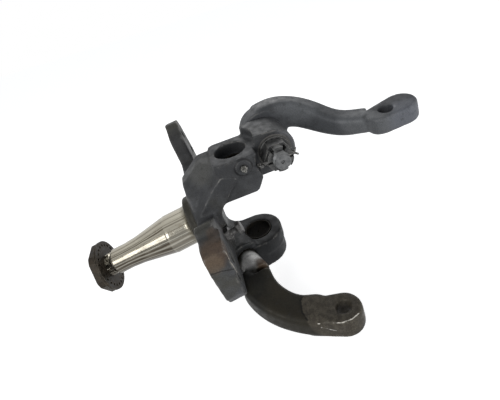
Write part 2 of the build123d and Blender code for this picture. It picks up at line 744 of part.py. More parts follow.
grease_fitting_lower = grease_fitting(lower_grease_seat.offset(seat_clearance))
grease_fitting_lower.part.label = "grease_fitting_lower"
export_step(grease_fitting_lower.part, "parts/grease_fitting_lower.step")

grease_ball_upper = check_ball(upper_grease_seat.offset(seat_clearance))
grease_ball_upper.part.label = "grease_ball_upper"
export_step(grease_ball_upper.part, "parts/grease_ball_upper.step")

grease_ball_lower = check_ball(lower_grease_seat.offset(seat_clearance))
grease_ball_lower.part.label = "grease_ball_lower"
export_step(grease_ball_lower.part, "parts/grease_ball_lower.step")

# ---- lock ring and nut on the spindle ----
with BuildPart() as spindle_lock_ring:
    with BuildSketch(spindle_plane(lock_ring_start)):
        Circle(lock_ring_radius)
        Circle(spindle_thread_radius + 0.3, mode=Mode.SUBTRACT)
        with Locations((0, spindle_thread_radius - keyway_depth / 2 + 0.5)):
            Rectangle(keyway_width - 0.8, keyway_depth)
        with PolarLocations(lock_hole_circle, lock_hole_count):
            Circle(lock_hole_radius, mode=Mode.SUBTRACT)
    extrude(amount=lock_ring_thickness)
spindle_lock_ring.part.label = "spindle_lock_ring"
export_step(spindle_lock_ring.part, "parts/spindle_lock_ring.step")

spindle_nut_seat = spindle_plane(lock_ring_start + lock_ring_thickness + seat_clearance)
with BuildPart() as spindle_nut:
    with BuildSketch(spindle_nut_seat) as nut_outline:
        RegularPolygon(spindle_nut_flats / 2, 6, major_radius=False)
        Circle(spindle_nut_corner_radius, mode=Mode.INTERSECT)
        Circle(spindle_thread_radius + thread_clearance, mode=Mode.SUBTRACT)
    extrude(amount=spindle_nut_thickness)
    outer_rim = spindle_nut.faces().sort_by(Axis(spindle_nut_seat.origin, spindle_nut_seat.z_dir))[-1]
    chamfer(outer_rim.outer_wire().edges(), 1.5)
spindle_nut.part.label = "spindle_nut"
export_step(spindle_nut.part, "parts/spindle_nut.step")
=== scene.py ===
from math import cos, pi, radians, sin, tau

import bmesh
import bpy
import numpy as np
from mathutils import Matrix, Vector


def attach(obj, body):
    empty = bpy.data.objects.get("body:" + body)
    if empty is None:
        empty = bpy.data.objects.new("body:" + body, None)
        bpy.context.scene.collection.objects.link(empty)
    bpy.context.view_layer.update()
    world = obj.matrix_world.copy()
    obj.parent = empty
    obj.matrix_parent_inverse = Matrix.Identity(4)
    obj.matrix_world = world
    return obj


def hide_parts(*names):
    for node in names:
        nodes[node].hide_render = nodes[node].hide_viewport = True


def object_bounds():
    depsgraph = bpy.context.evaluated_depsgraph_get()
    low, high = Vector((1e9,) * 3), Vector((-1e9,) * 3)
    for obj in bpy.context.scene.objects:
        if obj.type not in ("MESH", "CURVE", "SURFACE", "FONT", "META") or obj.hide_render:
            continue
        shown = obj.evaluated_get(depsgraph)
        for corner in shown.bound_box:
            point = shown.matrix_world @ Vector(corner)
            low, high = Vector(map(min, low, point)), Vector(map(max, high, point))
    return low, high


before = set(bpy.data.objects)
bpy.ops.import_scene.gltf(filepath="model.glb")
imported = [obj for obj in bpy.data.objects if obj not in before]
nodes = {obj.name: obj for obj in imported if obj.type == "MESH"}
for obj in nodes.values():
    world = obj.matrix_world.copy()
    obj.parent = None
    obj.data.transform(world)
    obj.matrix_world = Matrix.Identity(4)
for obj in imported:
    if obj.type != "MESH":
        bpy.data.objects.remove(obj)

cad_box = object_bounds()
scene = bpy.context.scene
MM = 0.001
ORIGIN, UP, INBOARD, REARWARD = Vector((0, 0, 0)), Vector((0, 0, 1)), Vector((1, 0, 0)), Vector((0, -1, 0))


def mm(*place):
    """A place given in millimetres, in metres."""
    return Vector(place) * MM


# ---- places that follow the CAD source, in metres ----
spindle_drop = radians(6.5)
spindle_axis = Vector((-cos(spindle_drop), 0, -sin(spindle_drop)))
spindle_up = Vector((-sin(spindle_drop), 0, cos(spindle_drop)))
steering_seat = mm(70.5, 48, 76.5)
steering_axis = REARWARD
tie_splay = radians(17.2)
tie_axis = Vector((-sin(tie_splay), cos(tie_splay), 0))
tie_seat = mm(-52, 0, -93) - tie_axis * 50 * MM
stop_tilt = radians(15)
stop_axis = Vector((cos(stop_tilt), 0, sin(stop_tilt)))
stop_place = mm(-54.5, -50, -27)
grease_place = mm(10, -48, 82.5)

# ---- sizes that follow the CAD source, in millimetres, with places along a turned piece's axis ----
collar_rim, collar_fillet = 104, 8
inner_seat_radius, inner_seat_end = 34.93, 148
relief_radius, relief_end = 33.8, 152
cone_radius, cone_end = 24.4, 204
outer_seat_radius, outer_seat_start, outer_seat_end = 22.22, 226, 250.5
neck_radius, neck_end = 17.4, 254.5
spindle_thread_radius, spindle_thread_start, spindle_end = 19.05, 256.1, 279
keyway_half_width, keyway_floor = 3.2, 15.85
stud_radius, stud_chamfer = 14.3, 2
steering_thread_start, steering_stud_end = 68.5, 113
tie_thread_start, tie_stud_end = 100.5, 138
spot_face_radius = 30
thread_pitch, stop_pitch = 2.117, 1.6
steering_cut, tie_cut = 60, 92  # where each arm's forging gives way to its stud


# ---- meshes ----
def new_object(name, mesh):
    """A smooth-shaded piece in the scene."""
    piece = bpy.data.objects.new(name, mesh)
    scene.collection.objects.link(piece)
    for polygon in mesh.polygons:
        polygon.use_smooth = True
    return piece


def relax(points, edges, weight, rounds):
    """Moves each point towards the mean of its neighbours, by its own weight."""
    first, second = edges[:, 0], edges[:, 1]
    count = np.bincount(edges.ravel(), minlength=len(points))
    for _ in range(rounds):
        mean = np.empty_like(points)
        for k in range(3):
            total = np.bincount(first, points[second, k], len(points))
            total += np.bincount(second, points[first, k], len(points))
            mean[:, k] = total / np.maximum(count, 1)
        points = points + weight[:, None] * (mean - points)
    return points


def trim(work, point, away, reach):
    """Cuts a turned end off beyond a point, within reach of the line through it, and closes the cut."""
    behind_cut = 0.06

    def close(v):
        offset = v.co - point
        return (offset - away * offset.dot(away)).length < reach and offset.dot(away) > -behind_cut

    faces = [f for f in work.faces if all(close(v) for v in f.verts)]
    part = set(faces)
    for f in faces:
        part.update(f.verts)
        part.update(f.edges)
    cut = bmesh.ops.bisect_plane(work, geom=list(part), plane_co=point, plane_no=away, clear_outer=True)
    bmesh.ops.holes_fill(work, edges=[e for e in cut["geom_cut"] if isinstance(e, bmesh.types.BMEdge)])


def remeshed(work, name, voxel):
    """An even skin over a rough mesh."""
    rough = bpy.data.meshes.new(name + "_rough")
    work.to_mesh(rough)
    work.free()
    holder = bpy.data.objects.new(name + "_rough", rough)
    scene.collection.objects.link(holder)
    remesh = holder.modifiers.new("remesh", "REMESH")
    remesh.mode = "VOXEL"
    remesh.voxel_size = voxel
    bpy.context.view_layer.update()
    solid = holder.evaluated_get(bpy.context.evaluated_depsgraph_get())
    mesh = bpy.data.meshes.new_from_object(solid)
    bpy.data.objects.remove(holder)
    mesh.name = name
    return mesh


def forging(node, name, cuts, voxel, weight_of, rounds, swells=()):
    """A forged piece from a node's mesh: trimmed at the cuts (point, direction that goes, reach), with the
    swells (centre, radius) merged in, then remeshed and eased."""
    work = bmesh.new()
    work.from_mesh(nodes[node].data)
    bmesh.ops.remove_doubles(work, verts=work.verts, dist=1e-6)
    for point, away, reach in cuts:
        trim(work, point, away, reach)
    for centre, radius in swells:
        bmesh.ops.create_icosphere(work, subdivisions=3, radius=radius, matrix=Matrix.Translation(centre))
    mesh = remeshed(work, name, voxel)
    points = np.empty(len(mesh.vertices) * 3)
    mesh.vertices.foreach_get("co", points)
    points = points.reshape(-1, 3)
    edges = np.empty(len(mesh.edges) * 2, int)
    mesh.edges.foreach_get("vertices", edges)
    edges = edges.reshape(-1, 2)
    points = relax(points, edges, np.full(len(points), 0.5), 2)
    points = relax(points, edges, 0.5 * weight_of(points), rounds)
    mesh.vertices.foreach_set("co", points.ravel())
    mesh.update()
    piece = new_object(name, mesh)
    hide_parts(node)
    return piece


def away_from_line(points, origin, axis):
    """Distance along a line and distance from it, for each point."""
    offset = points - np.array(origin)
    along = offset @ np.array(axis)
    return along, np.linalg.norm(offset - along[:, None] * np.array(axis), axis=1)


def step(low, high, value):
    """Smooth step from 0 at low to 1 at high."""
    t = np.clip((value - low) / (high - low), 0, 1)
    return t * t * (3 - 2 * t)


def turned(name, origin, axis, top, profile, angles, thread=None, keyway=None):
    """A turned piece. In millimetres, its profile holds (distance along the axis, radius), its thread is
    (start, end, pitch, depth) and its keyway (start, half width, floor radius)."""
    rows_per_pitch, longest_row = 10, 4
    rows = [profile[0]]
    for (s0, r0), (s1, r1) in zip(profile, profile[1:]):
        in_thread = thread and s0 >= thread[0] and s1 <= thread[1] and abs(r1 - r0) < 0.01
        parts = (s1 - s0) / thread[2] * rows_per_pitch if in_thread else abs(s1 - s0) / longest_row
        parts = max(1, int(parts))
        rows += [(s0 + (s1 - s0) * k / parts, r0 + (r1 - r0) * k / parts) for k in range(1, parts + 1)]
    s = np.array([row[0] for row in rows])[:, None] + 0 * angles[None, :]
    r = np.array([row[1] for row in rows])[:, None] + 0 * angles[None, :]
    turn = np.broadcast_to(angles[None, :], s.shape)
    if thread:
        start, end, pitch, depth = thread
        wave = np.abs(((s / pitch - turn / tau) % 1) * 2 - 1)
        fade = step(start, start + pitch, s) * (1 - step(end - pitch / 2, end, s))
        r = r - depth * np.clip((wave - 0.12) / 0.76, 0, 1) * fade
    if keyway:
        start, half, floor = keyway
        inside = (s > start) & (np.abs(np.sin(turn)) * r < half) & (np.cos(turn) > 0)
        r = np.where(inside & (r > floor), floor / np.maximum(np.cos(turn), 0.5), r)
    side = axis.cross(top)
    points = (
        np.array(origin)
        + s[..., None] * MM * np.array(axis)
        + (r * np.cos(turn))[..., None] * MM * np.array(top)
        + (r * np.sin(turn))[..., None] * MM * np.array(side)
    ).reshape(-1, 3)
    n = len(angles)
    ring = np.arange(n)
    after = (ring + 1) % n
    quads = np.concatenate([
        np.stack([k * n + ring, k * n + after, (k + 1) * n + after, (k + 1) * n + ring], 1)
        for k in range(len(rows) - 1)
    ]).tolist()
    last = (len(rows) - 1) * n
    caps = [list(range(n))[::-1], [last + k for k in range(n)]]
    mesh = bpy.data.meshes.new(name)
    mesh.from_pydata(points.tolist(), [], quads + caps)
    mesh.validate()
    tidy = bmesh.new()
    tidy.from_mesh(mesh)
    bmesh.ops.recalc_face_normals(tidy, faces=tidy.faces)
    tidy.to_mesh(mesh)
    tidy.free()
    piece = new_object(name, mesh)
    mesh.polygons[-1].use_smooth = False
    mesh.set_sharp_from_angle(angle=radians(40))
    return piece


# ---- materials ----
class Shader:
    """Builds the nodes of one material, or of the world."""

    def __init__(self, owner):
        self.owner = owner
        owner.use_nodes = True
        self.tree = owner.node_tree
        self.tree.nodes.clear()

    def add(self, kind, inputs=(), **settings):
        """One node, its inputs linked or set."""
        made = self.tree.nodes.new("ShaderNode" + kind)
        for key, value in settings.items():
            setattr(made, key, value)
        for key, value in dict(inputs).items():
            if isinstance(value, bpy.types.NodeSocket):
                self.tree.links.new(value, made.inputs[key])
            else:
                made.inputs[key].default_value = value
        return made

    def place(self):
        """The point on the piece, in metres."""
        return self.add("TexCoord").outputs["Object"]

    def noise(self, scale, detail=3.0, roughness=0.55, stretch=None):
        where = self.place()
        if stretch:
            where = self.add("Mapping", {"Vector": where, "Scale": stretch}).outputs[0]
        values = {"Vector": where, "Scale": scale, "Detail": detail, "Roughness": roughness}
        return self.add("TexNoise", values).outputs["Fac"]

    def line_noise(self, value, scale, detail):
        """Noise along one value."""
        values = {"W": self.math("MULTIPLY", value, scale), "Scale": 1.0, "Detail": detail}
        return self.add("TexNoise", values, noise_dimensions="1D").outputs["Fac"]

    def math(self, operation, first, second=0.0, third=0.0, clamp=False):
        values = {0: first, 1: second, 2: third}
        return self.add("Math", values, operation=operation, use_clamp=clamp).outputs[0]

    def span(self, value, low, high, to_low=0.0, to_high=1.0):
        """Smooth change from to_low at low to to_high at high."""
        values = {"Value": value, "From Min": low, "From Max": high, "To Min": to_low, "To Max": to_high}
        return self.add("MapRange", values, interpolation_type="SMOOTHSTEP").outputs[0]

    def mix(self, share, first, second, blend="MIX"):
        made = self.add("Mix", data_type="RGBA", blend_type=blend)
        for index, value in ((0, share), (6, first), (7, second)):
            if isinstance(value, bpy.types.NodeSocket):
                self.tree.links.new(value, made.inputs[index])
            elif index:
                made.inputs[index].default_value = (*value, 1)
            else:
                made.inputs[index].default_value = value
        return made.outputs[2]

    def coat(self, colour, shade, mask, strength):
        """Lays a shade over a colour where the mask is."""
        return self.mix(self.math("MULTIPLY", mask, strength), colour, shade)

    def along(self, origin, axis):
        """Distance along a line from its origin, in metres."""
        offset = self.add("VectorMath", {0: self.place(), 1: origin}, operation="SUBTRACT").outputs[0]
        return self.add("VectorMath", {0: offset, 1: axis}, operation="DOT_PRODUCT").outputs["Value"]

    def near(self, centre, radius, softness=0.35, rough=0.25):
        """Mask of a ragged patch about a point."""
        far = self.add("VectorMath", {0: self.place(), 1: centre}, operation="DISTANCE").outputs["Value"]
        ragged = self.math("MULTIPLY_ADD", self.noise(60.0, 4.0), rough * radius * 2, far)
        low = radius * (1 - softness) + rough * radius
        return self.span(ragged, low, radius * (1 + softness) + rough * radius, 1.0, 0.0)

    def trail(self, points, radius):
        """Ragged mask along a polyline of points in millimetres, radius in millimetres."""
        nearest = None
        for start, end in zip(points, points[1:]):
            start, run = Vector(start) * MM, (Vector(end) - Vector(start)) * MM
            offset = self.add("VectorMath", {0: self.place(), 1: start}, operation="SUBTRACT").outputs[0]
            share = self.add("VectorMath", {0: offset, 1: run / run.length_squared}, operation="DOT_PRODUCT")
            share = self.math("ADD", share.outputs["Value"], 0.0, clamp=True)
            foot = self.add("VectorMath", {0: run, "Scale": share}, operation="SCALE").outputs[0]
            far = self.add("VectorMath", {0: offset, 1: foot}, operation="DISTANCE").outputs["Value"]
            nearest = far if nearest is None else self.math("MINIMUM", nearest, far)
        radius = radius * MM
        ragged = self.math("MULTIPLY_ADD", self.noise(260.0, 4.0, 0.7), radius * 2.4, nearest)
        return self.span(ragged, radius * 1.6, radius * 2.3, 1.0, 0.0)

    def from_line(self, origin, axis):
        """Distance from a line, in metres."""
        offset = self.add("VectorMath", {0: self.place(), 1: origin}, operation="SUBTRACT").outputs[0]
        crossed = self.add("VectorMath", {0: offset, 1: axis}, operation="CROSS_PRODUCT").outputs[0]
        return self.add("VectorMath", {0: crossed}, operation="LENGTH").outputs["Value"]

    def edge(self, radius):
        """Mask of the outer edges of a CAD mesh, and its eased normal."""
        eased = self.add("Bevel", {"Radius": radius}, samples=6).outputs[0]
        plain = self.add("NewGeometry").outputs["Normal"]
        turn = self.add("VectorMath", {0: eased, 1: plain}, operation="DOT_PRODUCT").outputs["Value"]
        return self.span(turn, 0.93, 0.995, 1.0, 0.0), eased

    def seen(self):
        """1 for the rays that the background shows white to: camera, mirror and glass."""
        path = self.add("LightPath").outputs
        mirrored = self.math("MAXIMUM", path["Is Glossy Ray"], path["Is Transmission Ray"])
        return self.math("MAXIMUM", path["Is Camera Ray"], mirrored)

    def finish(self, surface, output="OutputMaterial"):
        out = self.add(output)
        self.tree.links.new(surface, out.inputs["Surface"])
        return self.owner


def forged_steel(
    name, dark, light, tint, tint_mask=None, patches=(), wear=(0.30, 0.29, 0.27), trails=(), extra=None,
    sheen=0.28,
):
    """Scaled forged steel: mottled colour, worn edges, painted shade in the hollows and a fine grain.

    tint_mask(shader) says where the tint lies, and extra(shader, colour) lays the piece's own marks.
    patches hold (centre, radius, colour, strength) and trails (points, radius, colour, strength), with places
    and radii in millimetres."""
    s = Shader(bpy.data.materials.new(name))
    broad, middle, fine = s.noise(16.0, 5.0), s.noise(90.0, 4.0), s.noise(620.0, 3.0)
    colour = s.mix(s.span(broad, 0.36, 0.66), dark, light)
    share = s.span(s.noise(9.0, 4.0, 0.6), 0.42, 0.62, 0.0, 0.8)
    if tint_mask:
        share = s.math("MULTIPLY", share, tint_mask(s))
    colour = s.mix(share, colour, tint)
    for centre, radius, shade, strength in patches:
        colour = s.coat(colour, shade, s.near(mm(*centre), radius * MM), strength)
    if extra:
        colour = extra(s, colour)
    spots = s.span(middle, 0.56, 0.74, 0.0, 0.45)
    colour = s.mix(spots, colour, (0.028, 0.027, 0.025))
    bend = s.add("NewGeometry").outputs["Pointiness"]
    # painted shade: colour darkened where the surface curves inwards
    hollow_shade = s.span(bend, 0.40, 0.495, 0.75, 0.0)
    colour = s.mix(hollow_shade, colour, (0.016, 0.015, 0.013))
    rubbed = s.math("MULTIPLY", s.span(bend, 0.510, 0.550), s.span(s.noise(48.0, 5.0, 0.65), 0.44, 0.62))
    colour = s.coat(colour, wear, rubbed, 0.40)
    for points, radius, shade, strength in trails:
        colour = s.coat(colour, shade, s.trail(points, radius), strength)
    grain = s.span(fine, 0.30, 0.70, 0.82, 1.18)
    colour = s.mix(1.0, colour, s.add("CombineColor", {0: grain, 1: grain, 2: grain}).outputs[0], "MULTIPLY")
    height = s.math("MULTIPLY_ADD", middle, 0.6, s.math("MULTIPLY", fine, 0.35))
    height = s.math("MULTIPLY_ADD", broad, 1.2, height)
    bump = s.add("Bump", {"Strength": 0.55, "Distance": 0.0009, "Height": height}).outputs[0]
    rough = s.math("SUBTRACT", s.span(middle, 0.3, 0.7, 0.42, 0.62), s.math("MULTIPLY", rubbed, 0.12))
    values = {"Base Color": colour, "Roughness": rough, "Metallic": 0.15}
    values |= {"Specular IOR Level": sheen, "Normal": bump}
    return s.finish(s.add("BsdfPrincipled", values).outputs[0])


def small_steel(
    name, dark, light, rough, metallic, wear, grain=1500.0, bevel=0.0005, threads=None, sheen=0.5,
):
    """Steel of the small pieces: eased and worn edges, fine stains. threads is (origin, axis, pitch)."""
    s = Shader(bpy.data.materials.new(name))
    rubbed, eased = s.edge(bevel)
    stains = s.noise(140.0, 5.0, 0.6)
    colour = s.mix(s.span(stains, 0.38, 0.64), dark, light)
    colour = s.coat(colour, wear, rubbed, 0.7)
    height = s.noise(grain, 3.0)
    if threads:
        origin, axis, pitch = threads
        turns = s.math("MULTIPLY", s.along(origin, axis), tau / (pitch * MM))
        height = s.math("MULTIPLY_ADD", s.math("SINE", turns), 3.0, height)
    bump = s.add("Bump", {"Strength": 0.35, "Distance": 0.0003, "Height": height, "Normal": eased}).outputs[0]
    gloss = s.span(stains, 0.3, 0.7, rough - 0.08, rough + 0.12)
    values = {"Base Color": colour, "Roughness": gloss, "Metallic": metallic}
    values |= {"Specular IOR Level": sheen, "Normal": bump}
    return s.finish(s.add("BsdfPrincipled", values).outputs[0])


def ground_steel(name, bands):
    """Ground and polished spindle: broad bands and random lines along it, both painted reflection, fine rings
    and stains.
    bands hold (share of the turn, from just ahead of the top towards the rear, colour) of the painted
    reflection."""
    s = Shader(bpy.data.materials.new(name))
    run = s.along(ORIGIN, spindle_axis)
    rings = s.line_noise(run, 2600.0, 3.0)
    turn = s.math("ARCTAN2", s.along(ORIGIN, REARWARD), s.along(ORIGIN, spindle_up))
    wander = s.noise(26.0, 4.0, 0.6, stretch=(0.25, 2.0, 2.0))
    share = s.math("MULTIPLY_ADD", turn, 1 / tau, 26 / 360)
    share = s.math("FRACT", s.math("ADD", share, s.math("MULTIPLY_ADD", wander, 0.03, -0.015)))
    ramp = s.add("ValToRGB", {"Fac": share})
    stops = ramp.color_ramp.elements
    while len(stops) > 1:
        stops.remove(stops[-1])
    stops[0].position, stops[0].color = bands[0][0], (*bands[0][1], 1)
    for place, shade in bands[1:]:
        stops.new(place).color = (*shade, 1)
    # painted reflection: random dark and pale streaks round the turn
    lines = s.line_noise(share, 46.0, 2.0)
    colour = s.mix(s.span(lines, 0.53, 0.61, 0.0, 0.85), ramp.outputs["Color"], (0.04, 0.028, 0.016))
    colour = s.mix(s.span(lines, 0.43, 0.36, 0.0, 0.35), colour, (0.60, 0.57, 0.49))
    stains = s.noise(70.0, 5.0, 0.65)
    lengthwise = s.noise(220.0, 3.0, 0.5, stretch=(0.04, 1.0, 1.0))
    colour = s.mix(s.span(lengthwise, 0.35, 0.70, 0.0, 0.35), colour, (0.22, 0.20, 0.165))
    seat_end, collar = inner_seat_end * MM, collar_rim * MM
    colour = s.mix(s.span(run, seat_end - 0.001, seat_end + 0.001, 0.10, 0.0), colour, (0.80, 0.77, 0.66))
    colour = s.mix(s.span(stains, 0.58, 0.76, 0.0, 0.5), colour, (0.16, 0.12, 0.075))
    foot = s.span(run, collar, collar + 0.012, 0.8, 0.0)
    colour = s.mix(foot, colour, (0.085, 0.075, 0.052))
    height = s.math("MULTIPLY_ADD", rings, 0.7, s.math("MULTIPLY", lengthwise, 0.4))
    bump = s.add("Bump", {"Strength": 0.12, "Distance": 0.0002, "Height": height}).outputs[0]
    rough = s.math("ADD", s.span(lengthwise, 0.3, 0.7, 0.26, 0.18), s.math("MULTIPLY", foot, 0.2))
    values = {"Base Color": colour, "Metallic": 1.0, "Roughness": rough, "Normal": bump}
    return s.finish(s.add("BsdfPrincipled", values).outputs[0])


# ---- forged pieces ----
def knuckle_weight(points):
    """How much each point is eased: little at bores, seats and the collar, most on the forged skin."""
    run, _ = away_from_line(points, ORIGIN, spindle_axis)
    height = points @ np.array(spindle_up)
    shoulder = step(0.040, 0.050, run) * step(0.100, 0.085, run) * step(-0.005, 0.015, height)
    weight = 0.18 + 0.6 * shoulder * step(0.062, 0.050, np.abs(points[:, 1]))
    weight = np.where(run > 0.090, 0.2, weight)
    bores = [
        (ORIGIN, UP, 0.031), (steering_seat, steering_axis, 0.032), (tie_seat, tie_axis, 0.026),
        (grease_place, steering_axis, 0.014),
    ]
    for origin, axis, radius in bores:
        _, far = away_from_line(points, origin, axis)
        weight = np.minimum(weight, 0.12 + 0.88 * step(radius, radius + 0.005, far))
    return weight


def arm_weight(seat, axis):
    """An arm is eased all over, but hardly along its tapered shank."""
    def weight_of(points):
        run, far = away_from_line(points, seat, axis)
        shank = 1 - step(0.021, 0.026, far)
        return 1 - 0.85 * shank * step(-0.045, -0.035, run)
    return weight_of


voxel = 0.002
collar_reach, shank_reach = 0.060, 0.022
knuckle = forging(
    "knuckle", "knuckle_forging",
    [(spindle_axis * (collar_rim - 0.2) * MM, spindle_axis, collar_reach)], voxel, knuckle_weight, 10,
)
steering_arm = forging(
    "steering_arm", "steering_arm_forging",
    [(steering_seat + steering_axis * steering_cut * MM, steering_axis, shank_reach)],
    voxel, arm_weight(steering_seat, steering_axis), 6,
)
tie_rod_arm = forging(
    "tie_rod_arm", "tie_rod_arm_forging",
    [(tie_seat + tie_axis * tie_cut * MM, tie_axis, shank_reach)],
    voxel, arm_weight(tie_seat, tie_axis), 6, [(mm(-44, -97.5, -95), 0.0185)],
)

# ---- turned and threaded pieces ----
around = np.linspace(0, tau, 128, endpoint=False)
key_side, key_edge = np.arcsin(keyway_half_width / spindle_thread_radius), 0.004
key_angles = [side + turn for side in (key_side, tau - key_side) for turn in (-key_edge, key_edge)]
fillet_end, fillet_top = collar_rim + collar_fillet, inner_seat_radius + collar_fillet
fillet = [
    (fillet_end - collar_fillet * sin(turn), fillet_top - collar_fillet * cos(turn))
    for turn in np.linspace(pi / 2, 0, 7)
]
centre_hole = [(0, 4.2), (-3, 2.4), (-3.1, 0.05)]
spindle_profile = [
    (collar_rim - 12, fillet_top), *fillet,
    (inner_seat_end - 0.8, inner_seat_radius), (inner_seat_end, 34.5), (inner_seat_end + 1, 34.1),
    (relief_end, relief_radius), (cone_end, cone_radius), (cone_end + 3, 24.0),
    (outer_seat_start - 3, 22.6), (outer_seat_start, outer_seat_radius),
    (outer_seat_end - 1.1, outer_seat_radius), (outer_seat_end - 0.3, 21.5), (outer_seat_end, neck_radius),
    (neck_end, neck_radius), (spindle_thread_start, spindle_thread_radius),
    (spindle_end - 2, spindle_thread_radius), (spindle_end, spindle_thread_radius - 2),
    *[(spindle_end + depth, radius) for depth, radius in centre_hole],
]
spindle = turned(
    "spindle_journal", ORIGIN, spindle_axis, spindle_up, spindle_profile,
    np.sort(np.concatenate([around, key_angles])),
    (spindle_thread_start, spindle_end - 0.5, thread_pitch, 1.25),
    (spindle_thread_start + 0.4, keyway_half_width, keyway_floor),
)
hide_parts("knuckle")


def stud(name, seat, axis, top, foot, thread_start, end):
    """Threaded end of an arm's shank, from its foot (distance, radius) on the taper."""
    profile = [
        foot, (thread_start - 1, stud_radius), (thread_start, stud_radius),
        (end - stud_chamfer, stud_radius), (end, stud_radius - stud_chamfer),
        (end, 3.4), (end - 2.6, 2.0), (end - 2.7, 0.05),
    ]
    thread = (thread_start, end - 0.5, thread_pitch, 1.2)
    return turned(name, seat, axis, top, profile, around, thread)


steering_stud = stud(
    "steering_arm_stud", steering_seat, steering_axis, INBOARD, (steering_cut - 5, 15.2),
    steering_thread_start, steering_stud_end,
)
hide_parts("steering_arm")
tie_stud = stud(
    "tie_rod_arm_stud", tie_seat, tie_axis, UP, (tie_cut - 4, 15.1), tie_thread_start, tie_stud_end,
)
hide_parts("tie_rod_arm")
for piece in (knuckle, steering_arm, tie_rod_arm, spindle, steering_stud, tie_stud):
    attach(piece, "root")


# ---- finishes ----
def olive_side(s):
    """The outboard side carries the olive tint, the inboard end hardly any."""
    return s.span(s.along(ORIGIN, INBOARD), -0.02, -0.07, 0.1, 1.0)


def knuckle_marks(s, colour):
    """Cut ring round the washer, oxide on the collar, painted shade round the grease boss, darker lower part
    with oil and painted shade.
    """
    ring = s.from_line(steering_seat, steering_axis)
    run = s.along(steering_seat, steering_axis)
    rim = spot_face_radius * MM
    cut = s.math("MULTIPLY", s.span(ring, rim + 0.0005, rim - 0.0005), s.span(run, 0.060, 0.064))
    colour = s.coat(colour, (0.15, 0.145, 0.135), cut, 0.8)
    near = s.span(s.from_line(ORIGIN, spindle_axis), 0.056, 0.050)
    collar = s.math("MULTIPLY", s.span(s.along(ORIGIN, spindle_axis), 0.088, 0.092), near)
    colour = s.coat(colour, (0.032, 0.029, 0.021), collar, 0.85)
    # painted shade: a dark ring at the foot of the grease boss
    ring = s.from_line(grease_place, steering_axis)
    boss_rim_shade = s.math("MULTIPLY", s.span(ring, 0.0125, 0.0137), s.span(ring, 0.0165, 0.0150))
    near = s.span(s.along(ORIGIN, steering_axis), 0.036, 0.040)
    colour = s.coat(colour, (0.012, 0.012, 0.013), s.math("MULTIPLY", boss_rim_shade, near), 0.75)
    # the lower part darkened as oily steel and as painted shade under the upper parts
    low = s.span(s.along(ORIGIN, UP), -0.008, -0.045, 0.0, 0.78)
    yoke = s.span(s.along(ORIGIN, INBOARD), -0.058, -0.046)
    return s.coat(colour, (0.008, 0.009, 0.010), low, yoke)


def pad_tone(s, colour):
    """The eye's pad is paler than the arm, up to the crease left by the forging die."""
    pad = s.near(mm(66, -178, -121), 0.050, 0.04, 0.03)
    mottle = s.span(s.noise(120.0, 5.0, 0.7), 0.42, 0.60, 0.0, 0.5)
    colour = s.coat(colour, (0.053, 0.046, 0.036), pad, 0.85)
    return s.coat(colour, (0.105, 0.093, 0.072), pad, mottle)


rust, rust_pale, olive = (0.075, 0.048, 0.030), (0.12, 0.088, 0.060), (0.046, 0.044, 0.033)
painted_sheen_blue, worn_edge_highlight, bared_edge_highlight = (0.125, 0.130, 0.136), (0.42, 0.38, 0.32), (0.70, 0.67, 0.60)
# both colours here are painted shade: one along the tie arm's die crease, one on the lower boss top with oil
crease, oily_shade = (0.005, 0.005, 0.004), (0.008, 0.008, 0.009)
